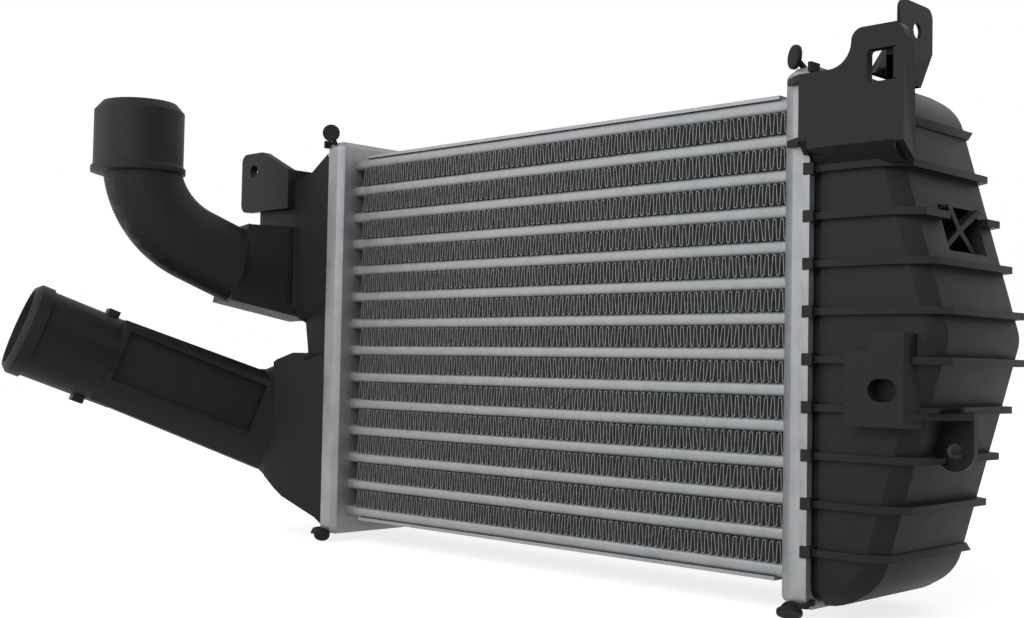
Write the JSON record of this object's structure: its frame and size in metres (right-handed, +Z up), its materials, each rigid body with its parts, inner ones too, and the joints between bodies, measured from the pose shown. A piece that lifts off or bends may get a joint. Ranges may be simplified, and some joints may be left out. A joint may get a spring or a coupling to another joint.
{
  "type": "intercooler",
  "caption": "Charge-air intercooler: flat tubes and folded fins between two crimped plastic end tanks, both hose pipes on one tank.",
  "frame": {"origin": "middle of the bolt hole in the left tank's tab, halfway through the tab", "axes": "+X along the tubes from the pipe end to the closed end, +Y from the tubes' front face to the back, +Z up"},
  "size_m": [0.5068, 0.2263, 0.2652],
  "materials": {
    "tube_aluminium": "brazed",
    "fin_aluminium": "brazed",
    "sheet_aluminium": "satin",
    "tank_nylon": "moulded",
    "gasket_rubber": "matt"
  },
  "bodies": {
    "root": {"tube_01": "tube_aluminium", "turbulator_01": "fin_aluminium", "tube_02": "tube_aluminium", "turbulator_02": "fin_aluminium", "tube_03": "tube_aluminium", "turbulator_03": "fin_aluminium", "tube_04": "tube_aluminium", "turbulator_04": "fin_aluminium", "tube_05": "tube_aluminium", "turbulator_05": "fin_aluminium", "tube_06": "tube_aluminium", "turbulator_06": "fin_aluminium", "tube_07": "tube_aluminium", "turbulator_07": "fin_aluminium", "tube_08": "tube_aluminium", "turbulator_08": "fin_aluminium", "tube_09": "tube_aluminium", "turbulator_09": "fin_aluminium", "tube_10": "tube_aluminium", "turbulator_10": "fin_aluminium", "tube_11": "tube_aluminium", "turbulator_11": "fin_aluminium", "tube_12": "tube_aluminium", "turbulator_12": "fin_aluminium", "tube_13": "tube_aluminium", "turbulator_13": "fin_aluminium", "tube_14": "tube_aluminium", "turbulator_14": "fin_aluminium", "fin_01": "fin_aluminium", "fin_02": "fin_aluminium", "fin_03": "fin_aluminium", "fin_04": "fin_aluminium", "fin_05": "fin_aluminium", "fin_06": "fin_aluminium", "fin_07": "fin_aluminium", "fin_08": "fin_aluminium", "fin_09": "fin_aluminium", "fin_10": "fin_aluminium", "fin_11": "fin_aluminium", "fin_12": "fin_aluminium", "fin_13": "fin_aluminium", "top_side_plate": "sheet_aluminium", "bottom_side_plate": "sheet_aluminium", "left_header": "sheet_aluminium", "left_gasket": "gasket_rubber", "right_header": "sheet_aluminium", "right_gasket": "gasket_rubber", "left_tank": "tank_nylon", "inlet_elbow": "tank_nylon", "right_tank": "tank_nylon", "mounting_bracket": "tank_nylon"}
  },
  "joints": []
}
